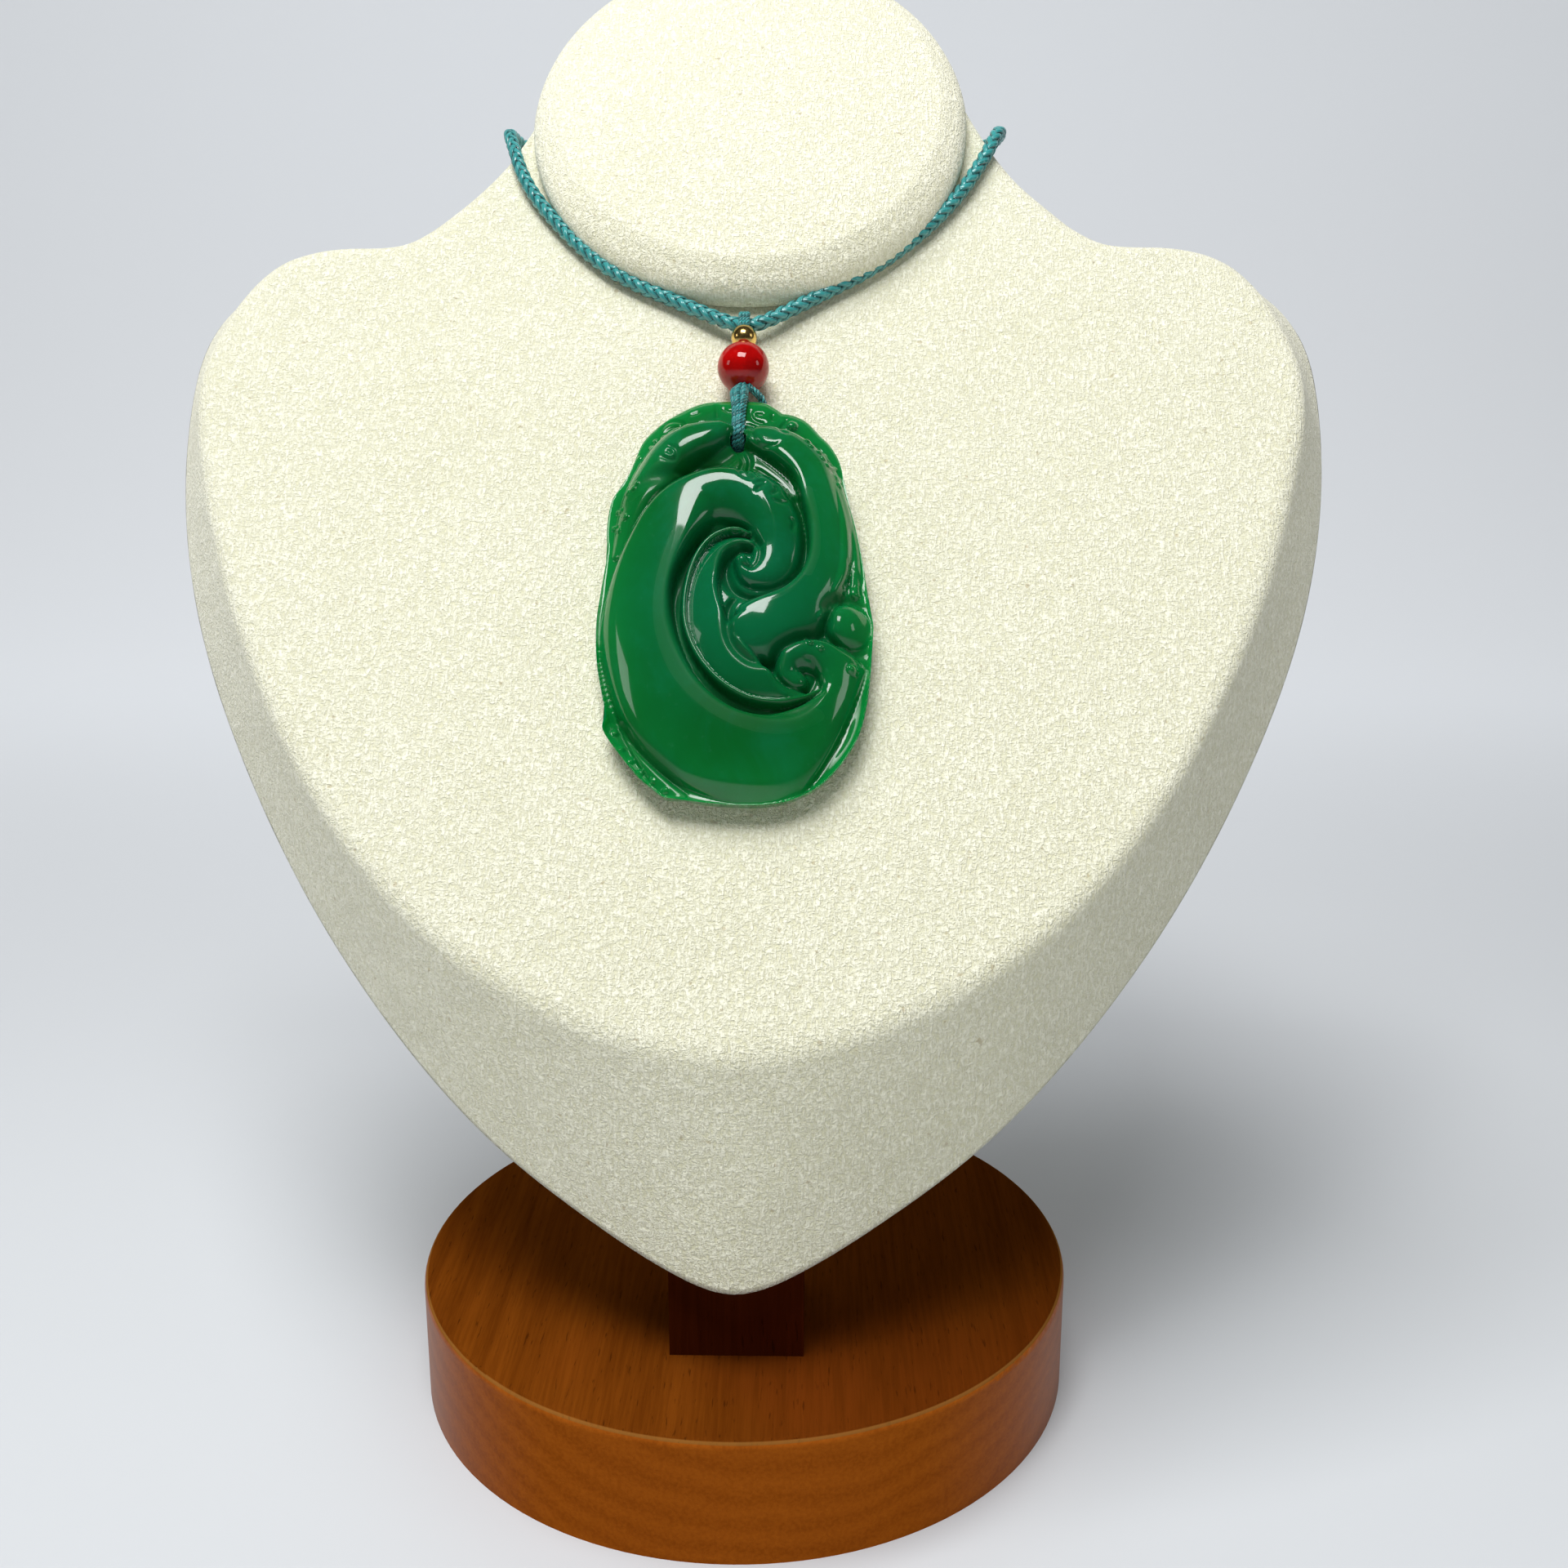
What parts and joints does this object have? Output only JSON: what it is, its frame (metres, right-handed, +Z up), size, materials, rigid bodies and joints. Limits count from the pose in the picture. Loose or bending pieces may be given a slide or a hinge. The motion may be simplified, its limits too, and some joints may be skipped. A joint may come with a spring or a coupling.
{
  "type": "carved scroll pendant on a braided cord with its neck bust display",
  "caption": "Carved green stone scroll pendant on a braided neck cord with beads, hung on a plain neck bust with a wooden post and round foot.",
  "frame": {"origin": "centre of the round wooden foot's underside, on the surface that it stands on", "axes": "+Z up; the bust's chest and the pendant look along -Y, leaning back; +X to the right as seen from the front"},
  "size_m": [0.1868, 0.1373, 0.2257],
  "materials": {
    "foot_wood": "satin stained wood",
    "post_wood": "satin stained wood",
    "bust_fabric": "short napped cover cloth",
    "cap_fabric": "short napped cover cloth over padding",
    "cord_braid": "glossy braided cord",
    "gold": "polished",
    "red_stone": "polished translucent stone",
    "green_stone": "polished carved stone"
  },
  "bodies": {
    "root": {"base_disc": "foot_wood", "post": "post_wood", "bust": "bust_fabric", "neck_cap": "cap_fabric", "neck_cord": "cord_braid", "cord_knot": "cord_braid", "pendant_thread": "cord_braid", "gold_bead": "gold", "red_bead": "red_stone", "pendant": "green_stone"}
  },
  "joints": []
}
